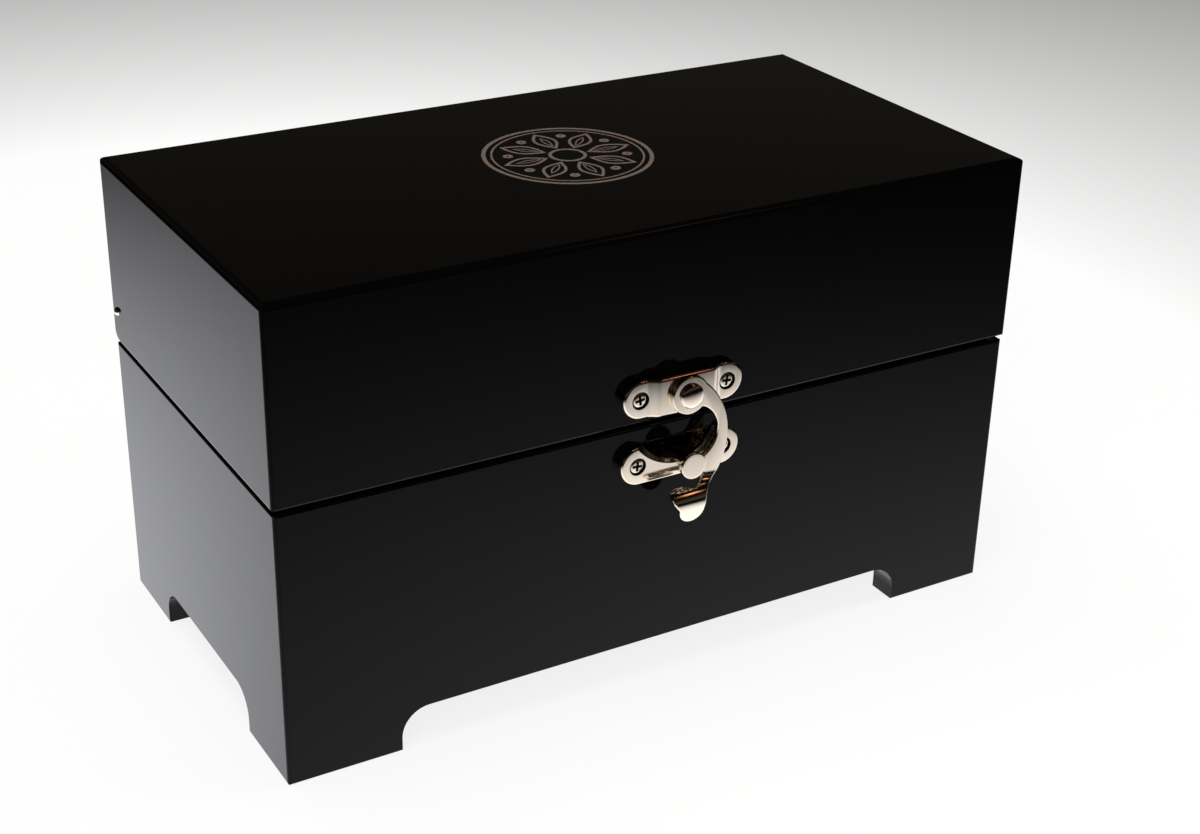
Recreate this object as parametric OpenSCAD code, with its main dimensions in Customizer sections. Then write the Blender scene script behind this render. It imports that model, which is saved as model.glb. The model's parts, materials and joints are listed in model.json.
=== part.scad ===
// Lidded box for tea sachets: lacquered walls on bracket feet, a lid that turns
// on two hidden pins, and a swing hook that catches a headed post on the front.
// Millimetres. Origin: middle of the footprint on the table, latch included.
// X runs to the right, Y to the back, Z up.

/* [Box] */
// Outer width of the body
box_w = 225; // [190:1:280]
// Outer depth of the body
box_d = 116.5; // [100:0.5:160]
// Height of the body's rim above the table
body_h = 78.6; // [70:0.1:110]
// Height of the lid, lower edge to top
lid_h = 53.7; // [45:0.1:75]
// Open seam between the rim and the lid
seam_gap = 1.2; // [0.8:0.1:1.6]
// Thickness of the walls
wall_t = 9; // [8:0.5:11]
// Thickness of the lid's top panel
top_t = 9; // [6:0.5:12]
// Overhang of the lid over the body at the front and the sides
lid_over = 0.4; // [0:0.1:0.8]

/* [Edges] */
// Radius of the upright corners
corner_r = 1; // [0.5:0.1:3]
// Radius of the edges along the seam
seam_r = 0.8; // [0.4:0.1:1.5]
// Radius of the lid's upper edges
top_r = 1.8; // [0.8:0.1:4]
// Radius of the edges that stand on the table
foot_edge_r = 0.5; // [0.3:0.1:1]

/* [Feet] */
// Length of a foot along the front and the back
foot_front = 32.1; // [24:0.1:50]
// Length of a foot along the sides
foot_side = 27; // [20:0.1:36]
// Height of the arch between the feet
arch_h = 12; // [10:0.5:16]
// Radius of the arch's upper corners
arch_r = 8; // [4:0.5:9]

/* [Bottom] */
// Height of the bottom panel's underside above the table
panel_z = 16; // [16:0.5:24]
// Thickness of the bottom panel
panel_t = 4; // [3:0.5:6]
// Depth of the groove that holds the bottom panel
groove_t = 3; // [2:0.5:4]
// Thickness of the felt on the floor and on the dividers' seats
felt_t = 1.2; // [0.8:0.1:2]

/* [Lining] */
// Thickness of the liner boards
liner_t = 3; // [2.5:0.5:4]
// Rise of the body's liner boards over the rim
liner_rise = 5; // [3:0.5:7]
// Gap between the body's and the lid's liner boards
liner_gap = 0.3; // [0.2:0.05:0.5]
// Thickness of the cross dividers
divider_t = 3; // [2:0.5:4]
// Height of the cross dividers above the felt
divider_h = 46; // [30:1:54]
// Depth of the slots that hold the dividers
slot_t = 1.5; // [1:0.25:2]

/* [Hinge] */
// Height of the pins above the lid's lower edge
pivot_rise = 9.7; // [9:0.1:12]
// Diameter of the hinge pins
pin_d = 2.5; // [2:0.1:3.2]
// Length of the pin's domed end outside the lid
pin_proud = 1; // [0.6:0.1:1.2]
// Reach of a pin into the back wall
pin_reach = 12; // [8:1:20]
// Running gap round a pin in the back wall
pin_gap = 0.05; // [0.03:0.01:0.08]
// Gap between the back wall's upper part and the lid's sides
cheek_gap = 0.35; // [0.25:0.05:0.6]
// Height of the lid's back wall above the pins, which sets the stop
heel_h = 5.2; // [5.1:0.1:6]
// Radius of the lid sides' lower back corner
heel_r = 5.5; // [4:0.5:7]

/* [Latch plates] */
// Place of the latch to the right of the middle
latch_x = 1.3; // [-20:0.1:20]
// Height of the rivet above the lid's lower edge
rivet_rise = 8.2; // [7:0.1:12]
// Depth of the post below the rim
post_drop = 10; // [9:0.1:12]
// Length of each plate
plate_l = 36.7; // [34:0.1:40]
// Height of each plate
plate_h = 10.8; // [10:0.1:12]
// Thickness of the plates at their screw lobes
plate_t = 2.8; // [2.4:0.1:3.2]
// Radius of the plates' front edges
plate_r = 0.6; // [0.3:0.1:0.8]
// Distance between a plate's two screws
screw_pitch = 26.7; // [25:0.1:28]
// Width of the raised middle of the lid's plate
boss_w = 16.4; // [14:0.2:17]
// Thickness of the raised middle of the lid's plate
boss_t = 4.3; // [4:0.1:5]
// Thickness of the catch plate under its scoop
scoop_t = 1; // [0.8:0.1:1.4]
// Radius of the scoop in the catch plate
scoop_r = 13.2; // [12.8:0.1:13.6]
// Height of the scoop's centre above the post
scoop_rise = 11.2; // [11:0.1:12]

/* [Screws] */
// Diameter of the screw heads
head_d = 4.2; // [3.8:0.1:4.4]
// Height of the screw heads
head_t = 1.4; // [1.2:0.1:1.6]
// Diameter of the screw shanks
shank_d = 2.2; // [1.8:0.1:2.6]
// Length of the screws in the wood
screw_l = 6.5; // [5:0.5:7]
// Gap round each screw head in its seat
seat_gap = 0.25; // [0.1:0.05:0.4]
// Width of the arms of the cross recess
cross_w = 0.6; // [0.4:0.1:0.8]

/* [Post and rivet] */
// Diameter of the post's neck
neck_d = 4.4; // [4:0.1:4.6]
// Diameter of the post's head
post_head_d = 7.7; // [7.4:0.1:8]
// Thickness of the post's head
post_head_t = 1.6; // [1.2:0.1:1.8]
// Distance from the body to the back of the post's head
post_reach = 7.9; // [7.8:0.1:8.2]
// Diameter of the rivet's head
rivet_head_d = 7; // [6:0.1:8]
// Height of the rivet's domed head
rivet_head_t = 1.75; // [1.4:0.05:2]
// Diameter of the rivet's shank
rivet_d = 3.6; // [3:0.1:4]

/* [Hook] */
// Thickness of the hook
hook_t = 1.75; // [1.5:0.05:1.9]
// Running gap on each face of the hook's eye
hook_gap = 0.1; // [0.05:0.01:0.2]
// Diameter of the hook's eye
eye_d = 11; // [10:0.1:12]
// Running gap between the hook and the rivet
eye_gap = 0.05; // [0.03:0.01:0.08]
// Radius of the strap's outer curve
strap_out_r = 21.25; // [21:0.05:21.5]
// Radius of the strap's inner curve
strap_in_r = 8.1; // [7.9:0.05:8.4]
// Radius of the thumb tab's round tip
tab_r = 3.35; // [3:0.05:3.7]
// Reach of the wide ledge above the thumb tab, to the left of the rivet
ledge_reach = 7; // [6.6:0.1:7.2]
// Radius of the bend away from the box
bend_in_r = 3; // [2.6:0.1:3.2]
// Radius of the curl at the tab
bend_out_r = 3.8; // [3.4:0.1:4.2]
// Slope of the bend
bend_angle = 75; // [70:1:78]
// Backward lean of the tab
tab_lean = 14; // [8:1:18]

/* [Hidden] */
$fn = 64;
lacquer = "#141414";
velour = "#cbb994";
felt = "#b7a37c";
nickel = "#d8cfc0";
// a hair more than nothing, so that cuts run through
eps = 0.01;
// clearance of a glued or driven piece in its seat
fit = 0.02;

// heights
lid_z = body_h + seam_gap;
top_z = lid_z + lid_h;
pivot_z = lid_z + pivot_rise;
rivet_z = lid_z + rivet_rise;
post_z = body_h - post_drop;
floor_z = panel_z + panel_t;
liner_top = body_h + liner_rise;
lid_liner_z = liner_top + liner_gap;
lid_inner_z = top_z - top_t;

// depths, measured from the body's front face
pivot_y = box_d - wall_t / 2;
inner_back = box_d - wall_t;

// hook, in its own frame: x right and y up from the rivet, z out of the box
post_dy = post_z - rivet_z;
hook_z = lid_over + boss_t + hook_gap;
hook_mid = hook_z + hook_t / 2;
crest_y = post_dy - 10.1;
bend_y = crest_y + (bend_in_r + bend_out_r) * sin(bend_angle);
curl_c = [crest_y, hook_mid + (bend_in_r + bend_out_r) * (1 - cos(bend_angle)) - bend_out_r];
latch_out = hook_z + hook_t + (bend_in_r + bend_out_r) * (1 - cos(bend_angle));

// the body's front face in the model's frame
front_y = (latch_out - box_d) / 2;

// Moves from the body's front face at y 0 into the model's frame
module placed() {
    translate([0, front_y, 0]) children();
}

// Turns a piece drawn face up so that it sits on the front, at a height
module on_front(height) {
    placed() translate([latch_x, 0, height]) rotate([90, 0, 0]) children();
}

// Rectangle standing on y 0 with round lower and upper corners
module round_rect(width, height, low_r, high_r) {
    half = width / 2;
    union() {
        polygon([
            [low_r - half, 0], [half - low_r, 0], [half, low_r], [half, height - high_r],
            [half - high_r, height], [high_r - half, height], [-half, height - high_r], [-half, low_r]
        ]);
        for (side = [-1, 1]) {
            translate([side * (half - low_r), low_r]) circle(r = low_r);
            translate([side * (half - high_r), height - high_r]) circle(r = high_r);
        }
    }
}

// Block with round upright, lower and upper edges, front face at y 0
module soft_block(width, depth, height, low_r, high_r) {
    intersection() {
        linear_extrude(height) round_rect(width, depth, corner_r, corner_r);
        translate([0, depth, 0]) rotate([90, 0, 0])
            linear_extrude(depth) round_rect(width, height, low_r, high_r);
        translate([-width / 2, depth / 2, 0]) rotate([90, 0, 90])
            linear_extrude(width) round_rect(depth, height, low_r, high_r);
    }
}

module body_block() {
    soft_block(box_w, box_d, body_h, foot_edge_r, seam_r);
}

module lid_block() {
    translate([0, -lid_over, lid_z])
        soft_block(box_w + 2 * lid_over, box_d + lid_over, lid_h, seam_r, top_r);
}

// Prism over the mitred front wall of a block
module front_zone(width, front) {
    half = width / 2;
    translate([0, front, -1]) linear_extrude(top_z + 2)
        polygon([[-half - 1, -1], [half + 1, -1], [half - wall_t, wall_t], [wall_t - half, wall_t]]);
}

// Prism over a side wall of a block, mitred at the front; side is -1 or 1
module side_zone(side, width, front) {
    half = width / 2;
    translate([0, front, -1]) linear_extrude(top_z + 2)
        polygon([
            [side * (half + 1), -1], [side * (half + 1), box_d + 1 - front],
            [side * (half - wall_t), box_d + 1 - front], [side * (half - wall_t), wall_t]
        ]);
}

// Opening between two feet: straight inner edges, round upper corners
module arch(span) {
    half = span / 2;
    union() {
        translate([-half, -1]) square([span, arch_h - arch_r + 1]);
        translate([arch_r - half, -1]) square([span - 2 * arch_r, arch_h + 1]);
        for (side = [-1, 1])
            translate([side * (half - arch_r), arch_h - arch_r]) circle(r = arch_r);
    }
}

// Holes for a plate's two screws in a front wall, drawn face up
module pilot_holes() {
    for (side = [-1, 1])
        translate([side * screw_pitch / 2, 0, -screw_l - 0.3])
            cylinder(d = shank_d + 2 * fit, h = screw_l + 1.3);
}

// Groove that the bottom panel sits in
module panel_space(gap) {
    grow = wall_t - groove_t;
    translate([grow - gap - box_w / 2, grow - gap, panel_z])
        cube([box_w - 2 * grow + 2 * gap, box_d - 2 * grow + 2 * gap, panel_t]);
}

module body_front_wall() {
    color(lacquer) difference() {
        placed() difference() {
            intersection() {
                body_block();
                front_zone(box_w, 0);
            }
            translate([0, wall_t + 1, 0]) rotate([90, 0, 0])
                linear_extrude(wall_t + 2) arch(box_w - 2 * foot_front);
            panel_space(fit);
        }
        on_front(post_z) pilot_holes();
    }
}

module body_side_wall(side) {
    color(lacquer) placed() difference() {
        intersection() {
            body_block();
            side_zone(side, box_w, 0);
        }
        translate([-box_w / 2 - 1, box_d / 2, 0]) rotate([90, 0, 90])
            linear_extrude(box_w + 2) arch(box_d - 2 * foot_side);
        panel_space(fit);
    }
}

module body_left_wall() { body_side_wall(-1); }

module body_right_wall() { body_side_wall(1); }

// Stands between the side walls and rises into the lid, where it turns round the pins
module body_back_wall() {
    low_w = box_w - 2 * wall_t;
    high_w = low_w - 2 * cheek_gap;
    color(lacquer) placed() difference() {
        union() {
            translate([-low_w / 2, inner_back, 0]) cube([low_w, wall_t, body_h]);
            translate([-high_w / 2, inner_back, 0]) cube([high_w, wall_t, pivot_z]);
            translate([-high_w / 2, pivot_y, pivot_z]) rotate([0, 90, 0])
                cylinder(d = wall_t, h = high_w);
        }
        translate([0, box_d + 1, 0]) rotate([90, 0, 0])
            linear_extrude(wall_t + 2) arch(box_w - 2 * foot_front);
        panel_space(fit);
        for (side = [-1, 1])
            translate([side * high_w / 2, pivot_y, pivot_z]) rotate([0, -90 * side, 0])
                translate([0, 0, -1]) cylinder(d = pin_d + 2 * pin_gap, h = pin_reach + 1.5);
    }
}

module bottom_panel() {
    color(lacquer) placed() panel_space(0);
}

module floor_lining() {
    inset = wall_t + liner_t + 0.1;
    color(felt) placed() translate([inset - box_w / 2, inset, floor_z])
        cube([box_w - 2 * inset, box_d - 2 * inset, felt_t]);
}

// Slots for the two dividers, cut into the front and back liner boards
module divider_slots(gap) {
    for (side = [-1, 1])
        translate([side * divider_x - divider_t / 2 - gap, wall_t + liner_t - slot_t - gap, floor_z])
            cube([divider_t + 2 * gap, box_d - 2 * (wall_t + liner_t - slot_t - gap), divider_h + felt_t]);
}

// middle of each divider, for three equal compartments
divider_x = (box_w - 2 * (wall_t + liner_t) + divider_t) / 6;

module liner_long(from_y) {
    color(velour) placed() difference() {
        translate([wall_t - box_w / 2, from_y, floor_z])
            cube([box_w - 2 * wall_t, liner_t, liner_top - floor_z]);
        divider_slots(fit);
    }
}

module body_liner_front() { liner_long(wall_t); }

module body_liner_back() { liner_long(inner_back - liner_t); }

module liner_short(side) {
    color(velour) placed()
        translate([side * (box_w / 2 - wall_t - liner_t / 2) - liner_t / 2, wall_t + liner_t, floor_z])
            cube([liner_t, box_d - 2 * (wall_t + liner_t), liner_top - floor_z]);
}

module body_liner_left() { liner_short(-1); }

module body_liner_right() { liner_short(1); }

// Cross divider that stands on the felt with its ends in the slots
module divider(side) {
    inset = wall_t + liner_t - slot_t;
    color(velour) placed()
        translate([side * divider_x - divider_t / 2, inset, floor_z + felt_t])
            cube([divider_t, box_d - 2 * inset, divider_h]);
}

module divider_left() { divider(-1); }

module divider_right() { divider(1); }

module lid_front_wall() {
    color(lacquer) difference() {
        placed() difference() {
            intersection() {
                lid_block();
                front_zone(box_w + 2 * lid_over, -lid_over);
            }
            translate([-box_w, -box_d, lid_inner_z]) cube([2 * box_w, 3 * box_d, top_t + 1]);
        }
        on_front(rivet_z) translate([0, 0, lid_over]) pilot_holes();
    }
}

// The lower back corner is round so that it clears the rim as the lid opens
module lid_side_wall(side) {
    half = box_w / 2 + lid_over;
    color(lacquer) placed() difference() {
        intersection() {
            lid_block();
            side_zone(side, box_w + 2 * lid_over, -lid_over);
        }
        translate([-box_w, -box_d, lid_inner_z]) cube([2 * box_w, 3 * box_d, top_t + 1]);
        translate([-box_w, box_d - heel_r, lid_z + heel_r]) rotate([90, 0, 90])
            linear_extrude(2 * box_w) difference() {
                translate([0, -heel_r - 1]) square([heel_r + 1, heel_r + 1]);
                circle(r = heel_r);
            }
        translate([side * (half + 1), pivot_y, pivot_z]) rotate([0, -90 * side, 0])
            cylinder(d = pin_d + 2 * fit, h = wall_t + 2);
    }
}

module lid_left_wall() { lid_side_wall(-1); }

module lid_right_wall() { lid_side_wall(1); }

module lid_back_wall() {
    half = box_w / 2 + lid_over - wall_t;
    low = pivot_z + heel_h;
    color(lacquer) placed() translate([-half, inner_back, low])
        cube([2 * half, wall_t, lid_inner_z - low]);
}

module lid_top_panel() {
    color(lacquer) placed() intersection() {
        lid_block();
        translate([-box_w, -box_d, lid_inner_z]) cube([2 * box_w, 3 * box_d, top_t + 1]);
    }
}

// inner faces of the lid's walls
lid_in_x = box_w / 2 + lid_over - wall_t;
lid_in_y = wall_t - lid_over;

module lid_liner_front() {
    color(velour) placed() translate([-lid_in_x, lid_in_y, lid_liner_z])
        cube([2 * lid_in_x, liner_t, lid_inner_z - lid_liner_z]);
}

module lid_liner_back() {
    low = pivot_z + heel_h;
    color(velour) placed() translate([-lid_in_x, inner_back - liner_t, low])
        cube([2 * lid_in_x, liner_t, lid_inner_z - low]);
}

module lid_liner_side(side) {
    color(velour) placed()
        translate([side * (lid_in_x - liner_t / 2) - liner_t / 2, lid_in_y + liner_t, lid_liner_z])
            cube([liner_t, inner_back - lid_in_y - 2 * liner_t, lid_inner_z - lid_liner_z]);
}

module lid_liner_left() { lid_liner_side(-1); }

module lid_liner_right() { lid_liner_side(1); }

// Two pins, driven through the lid's sides; their domed ends stay outside
module hinge_pins() {
    inner = box_w / 2 - wall_t - cheek_gap - pin_reach;
    outer = box_w / 2 + lid_over;
    dome_r = (pin_d * pin_d / 4 + pin_proud * pin_proud) / (2 * pin_proud);
    color(nickel) placed() for (side = [-1, 1])
        translate([side * inner, pivot_y, pivot_z]) rotate([0, 90 * side, 0]) {
            cylinder(d = pin_d, h = outer - inner);
            translate([0, 0, outer - inner]) rotate_extrude() intersection() {
                translate([0, pin_proud - dome_r]) circle(r = dome_r);
                square([pin_d / 2, pin_proud]);
            }
        }
}

// Plate with round ends and a soft front edge, drawn face up from z 0
module soft_plate(length, height, thick, edge) {
    end_r = height / 2;
    reach = length / 2 - end_r;
    union() {
        for (side = [-1, 1])
            translate([side * reach, 0, 0]) rotate_extrude() soft_half(end_r, thick, edge);
        translate([-reach, 0, 0]) rotate([90, 0, 90]) linear_extrude(2 * reach) {
            soft_half(end_r, thick, edge);
            mirror([1, 0]) soft_half(end_r, thick, edge);
        }
    }
}

// Half of a plate's section with a quarter round at its outer upper corner
module soft_half(half, thick, edge) {
    union() {
        square([half - edge, thick]);
        square([half, thick - edge]);
        translate([half - edge, thick - edge]) intersection() {
            circle(r = edge);
            square([edge, edge]);
        }
    }
}

// Seats for the screw heads, with the holes for their shanks
module screw_seats() {
    for (side = [-1, 1]) translate([side * screw_pitch / 2, 0, 0]) {
        translate([0, 0, plate_t - head_t - 0.1]) cylinder(d = head_d + 2 * seat_gap, h = 3);
        translate([0, 0, -1]) cylinder(d = shank_d + 2 * fit, h = plate_t + 2);
    }
}

// Two screws with cross recesses, drawn face up, seated in a plate
module screws() {
    seat = plate_t - head_t - 0.1;
    for (side = [-1, 1]) translate([side * screw_pitch / 2, 0, seat]) difference() {
        rotate_extrude() polygon([
            [0, -seat - screw_l], [shank_d / 2, -seat - screw_l + 1.6], [shank_d / 2, 0],
            [head_d / 2, 0], [head_d / 2, head_t - 0.35], [head_d / 2 - 0.35, head_t], [0, head_t]
        ]);
        rotate([0, 0, 45 + 20 * side]) for (turn = [0, 90]) rotate([0, 0, turn])
            translate([-head_d * 0.3, -cross_w / 2, head_t - 0.8])
                cube([head_d * 0.6, cross_w, 1]);
    }
}

// Plate on the body; a bevelled scoop in its upper edge lets the hook come round the post
module catch_plate() {
    color(nickel) on_front(post_z) difference() {
        soft_plate(plate_l, plate_h, plate_t, plate_r);
        translate([0, scoop_rise, scoop_t])
            cylinder(r1 = scoop_r - 0.6, r2 = scoop_r + 0.6, h = plate_t - scoop_t + eps);
        translate([0, 0, -1]) cylinder(d = neck_d + 2 * fit, h = plate_t + 2);
        screw_seats();
    }
}

// Turned post, staked in the catch plate, with a flat round head
module catch_post() {
    soft = 0.4;
    color(nickel) on_front(post_z) union() {
        cylinder(d = neck_d, h = post_reach + eps);
        translate([0, 0, post_reach]) rotate_extrude() union() {
            square([post_head_d / 2 - soft, post_head_t]);
            translate([0, soft]) square([post_head_d / 2, post_head_t - 2 * soft]);
            for (at = [soft, post_head_t - soft])
                translate([post_head_d / 2 - soft, at]) circle(r = soft);
        }
    }
}

module catch_screws() {
    color(nickel) on_front(post_z) screws();
}

// Plate on the lid, with a raised middle that carries the rivet
module latch_plate() {
    blend = 3;
    color(nickel) on_front(rivet_z) translate([0, 0, lid_over]) difference() {
        union() {
            soft_plate(plate_l, plate_h, plate_t, plate_r);
            intersection() {
                soft_plate(plate_l, plate_h, boss_t, plate_r);
                translate([0, plate_h, 0]) rotate([90, 0, 0]) linear_extrude(2 * plate_h)
                    difference() {
                        translate([-boss_w / 2 - 1, 0]) square([boss_w + 2, boss_t]);
                        for (side = [-1, 1])
                            translate([side * (boss_w / 2 + blend), plate_t + blend])
                                circle(r = blend);
                    }
            }
        }
        translate([0, 0, boss_t - 3]) cylinder(d = rivet_d + 2 * fit, h = 4);
        screw_seats();
    }
}

module latch_screws() {
    color(nickel) on_front(rivet_z) translate([0, 0, lid_over]) screws();
}

// Rivet with a domed head, on which the hook swings
module latch_rivet() {
    rim = 0.5;
    rise = rivet_head_t - rim;
    dome_r = (rivet_head_d * rivet_head_d / 4 + rise * rise) / (2 * rise);
    head_z = hook_z + hook_t + hook_gap;
    shank_z = lid_over + boss_t - 3;
    color(nickel) on_front(rivet_z) union() {
        translate([0, 0, shank_z]) cylinder(d = rivet_d, h = head_z - shank_z + eps);
        translate([0, 0, head_z]) cylinder(d = rivet_head_d, h = rim);
        translate([0, 0, head_z + rim]) rotate_extrude() intersection() {
            translate([0, rise - dome_r]) circle(r = dome_r, $fn = 128);
            square([rivet_head_d / 2, rise]);
        }
    }
}

// Strap, slanting arm, thumb tab and ledge as one outline, seen from the front.
// Arm and ledge are points to the right of the rivet and above the post.
module strap_outline() {
    left = ledge_reach / 7;
    arm = [[4.7, -7.85], [3.7, -8.75], [3.1, -9.9], [2.8, -11.4]];
    ledge = [
        [-4.5, -13.2], [-5.3 * left, -11.9], [-6.1 * left, -10.2], [-6.75 * left, -8.9],
        [-7 * left, -8.1], [-6.6 * left, -7.4], [-5.3 * left, -6.97], [-2.6, -6.83],
        [1.15, -7.71], [3.4, -6.47], [5.05, -4.94], [4.9, -3.1], [2.7, -3.1]
    ];
    polygon(concat(
        [[-1, 1]],
        arc_points([-9, post_dy + 5.9], strap_out_r, 57, -31, 29),
        [for (p = arm) p + [0, post_dy]],
        arc_points([-0.6, post_dy - 12.55], tab_r, 0, -150, 15),
        [for (p = ledge) p + [0, post_dy]],
        arc_points([0.8, post_dy + 7.9], strap_in_r, -76, 72, 25)
    ));
}

// Points on a circle from one direction to another
function arc_points(centre, r, from, to, steps) = [
    for (i = [0:steps]) centre + r * [
        cos(from + (to - from) * i / steps), sin(from + (to - from) * i / steps)
    ]
];

// Side section of the hook: straight behind the post's head, then out and down to the tab
module hook_section() {
    half = hook_t / 2;
    bend_c = [bend_y, hook_mid + bend_in_r];
    tail = 12 * [-cos(tab_lean), -sin(tab_lean)];
    low = 90 + tab_lean;
    front = concat(
        [[eye_d, hook_z + hook_t]],
        arc_points(bend_c, bend_in_r - half, 270, 270 - bend_angle, 8),
        arc_points(curl_c, bend_out_r + half, 90 - bend_angle, low, 12),
        [curl_c + (bend_out_r + half) * [cos(low), sin(low)] + tail]
    );
    back = concat(
        [curl_c + (bend_out_r - half) * [cos(low), sin(low)] + tail],
        arc_points(curl_c, bend_out_r - half, low, 90 - bend_angle, 12),
        arc_points(bend_c, bend_in_r + half, 270 - bend_angle, 270, 8),
        [[eye_d, hook_z]]
    );
    polygon(concat(front, back));
}

module latch_hook() {
    color(nickel) on_front(rivet_z) difference() {
        intersection() {
            union() {
                cylinder(d = eye_d, h = latch_out + 1);
                linear_extrude(latch_out + 1) strap_outline();
            }
            translate([-20, 0, 0]) rotate([90, 0, 90]) linear_extrude(50) hook_section();
        }
        cylinder(d = rivet_d + 2 * eye_gap, h = latch_out);
    }
}

body_front_wall();
body_back_wall();
body_left_wall();
body_right_wall();
bottom_panel();
floor_lining();
body_liner_front();
body_liner_back();
body_liner_left();
body_liner_right();
divider_left();
divider_right();
catch_plate();
catch_post();
catch_screws();
lid_front_wall();
lid_back_wall();
lid_left_wall();
lid_right_wall();
lid_top_panel();
lid_liner_front();
lid_liner_back();
lid_liner_left();
lid_liner_right();
hinge_pins();
latch_plate();
latch_screws();
latch_rivet();
latch_hook();
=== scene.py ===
# %% [markdown]
# # A lacquered tea box with a swing-hook latch
#
# The box is plain, so three things carry its look: deep black lacquer that mirrors
# the white table, soft rounded edges, and a small cast latch in warm nickel. This
# file dresses the engineering model: its walls stay as they are and get a finish,
# and the latch is modelled again with the soft edges of a plated casting.

# %% Frame and measures
import json
import math

import bmesh
import bpy
from mathutils import Matrix, Vector


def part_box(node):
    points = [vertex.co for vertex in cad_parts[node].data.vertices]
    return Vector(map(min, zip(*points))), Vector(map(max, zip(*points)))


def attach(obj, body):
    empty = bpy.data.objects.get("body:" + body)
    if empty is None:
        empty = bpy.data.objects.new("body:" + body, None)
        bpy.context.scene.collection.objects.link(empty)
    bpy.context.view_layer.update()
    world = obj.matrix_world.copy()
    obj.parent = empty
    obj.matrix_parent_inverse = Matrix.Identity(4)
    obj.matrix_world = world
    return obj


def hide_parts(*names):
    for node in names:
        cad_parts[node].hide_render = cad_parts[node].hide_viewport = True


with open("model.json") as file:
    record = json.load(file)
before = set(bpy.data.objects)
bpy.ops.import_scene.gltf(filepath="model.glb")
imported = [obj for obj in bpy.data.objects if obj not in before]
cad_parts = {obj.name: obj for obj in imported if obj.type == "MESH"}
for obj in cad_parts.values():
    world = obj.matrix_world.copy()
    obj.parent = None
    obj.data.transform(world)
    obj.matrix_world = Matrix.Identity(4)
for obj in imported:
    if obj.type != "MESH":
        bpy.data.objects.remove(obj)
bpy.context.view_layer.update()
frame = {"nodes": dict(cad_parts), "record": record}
MM = 0.001

front_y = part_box("body_front_wall")[0].y
lid_front_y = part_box("lid_front_wall")[0].y
print("frame loaded,", len(frame["nodes"]), "nodes, front face at y", round(front_y / MM, 3), "mm")


# %% [markdown]
# ## Two small tools for materials
#
# A colour is easiest to read as the hex value that a painter or a web page would
# use, but a shader wants linear light, so one function turns the first into the
# second. The other function adds one shader node with its settings and its links,
# which keeps each material as short as its recipe.

# %% Colour and node helpers
def linear(hex_code):
    """A colour such as #d6cdbd as linear red, green, blue and alpha."""
    parts = [int(hex_code[i : i + 2], 16) / 255 for i in (1, 3, 5)]
    return tuple(p / 12.92 if p <= 0.04045 else ((p + 0.055) / 1.055) ** 2.4 for p in parts) + (1.0,)


def add_node(tree, kind, values=None, links=None, **settings):
    """Adds a shader node: settings are its options, values its inputs, links what feeds them."""
    node = tree.nodes.new(kind)
    for name, value in settings.items():
        setattr(node, name, value)
    for name, value in (values or {}).items():
        node.inputs[name].default_value = value
    for name, source in (links or {}).items():
        tree.links.new(source, node.inputs[name])
    return node


def new_material(name):
    """An empty node material, with its tree, its shader and its object coordinates."""
    material = bpy.data.materials.new(name)
    material.use_nodes = True
    tree = material.node_tree
    shader = tree.nodes["Principled BSDF"]
    place = add_node(tree, "ShaderNodeTexCoord").outputs["Object"]
    return material, tree, shader, place


print("the lining's cream is linear", [round(c, 4) for c in linear("#cbb994")[:3]])


# %% [markdown]
# ## Piano lacquer
#
# Polyester lacquer is sprayed thickly over fibreboard, sanded flat and buffed. It
# is black all through, so what the eye sees is a reflection that is faint from the
# front and strong at a slant. Such lacquer has an IOR near 1.5. Here 1.2 gives the
# same steep change with less light from the front, which is how deep the real
# black looks. Spraying leaves a very shallow waviness, called orange peel, with
# waves some 8 mm long, and polishing cloths leave areas a touch less sharp. Both
# are small: more would look like plastic.

# %% Piano lacquer
def piano_lacquer():
    material, tree, shader, place = new_material("piano_lacquer_on_fibreboard")
    shader.inputs["Base Color"].default_value = linear("#030303")
    shader.inputs["IOR"].default_value = 1.2
    cloth_marks = add_node(
        tree, "ShaderNodeTexNoise", {"Scale": 1 / (45 * MM), "Detail": 2.0, "Roughness": 0.5},
        {"Vector": place},
    )
    sharpness = add_node(
        tree, "ShaderNodeMapRange",
        {"From Min": 0.35, "From Max": 0.65, "To Min": 0.035, "To Max": 0.06},
        {"Value": cloth_marks.outputs["Fac"]},
    )
    tree.links.new(sharpness.outputs["Result"], shader.inputs["Roughness"])
    orange_peel = add_node(
        tree, "ShaderNodeTexNoise", {"Scale": 1 / (8 * MM), "Detail": 1.0}, {"Vector": place}
    )
    waviness = add_node(
        tree, "ShaderNodeBump", {"Strength": 0.25, "Distance": 0.02 * MM},
        {"Height": orange_peel.outputs["Fac"]},
    )
    tree.links.new(waviness.outputs["Normal"], shader.inputs["Normal"])
    return material


lacquer = piano_lacquer()
print("made", lacquer.name)
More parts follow.
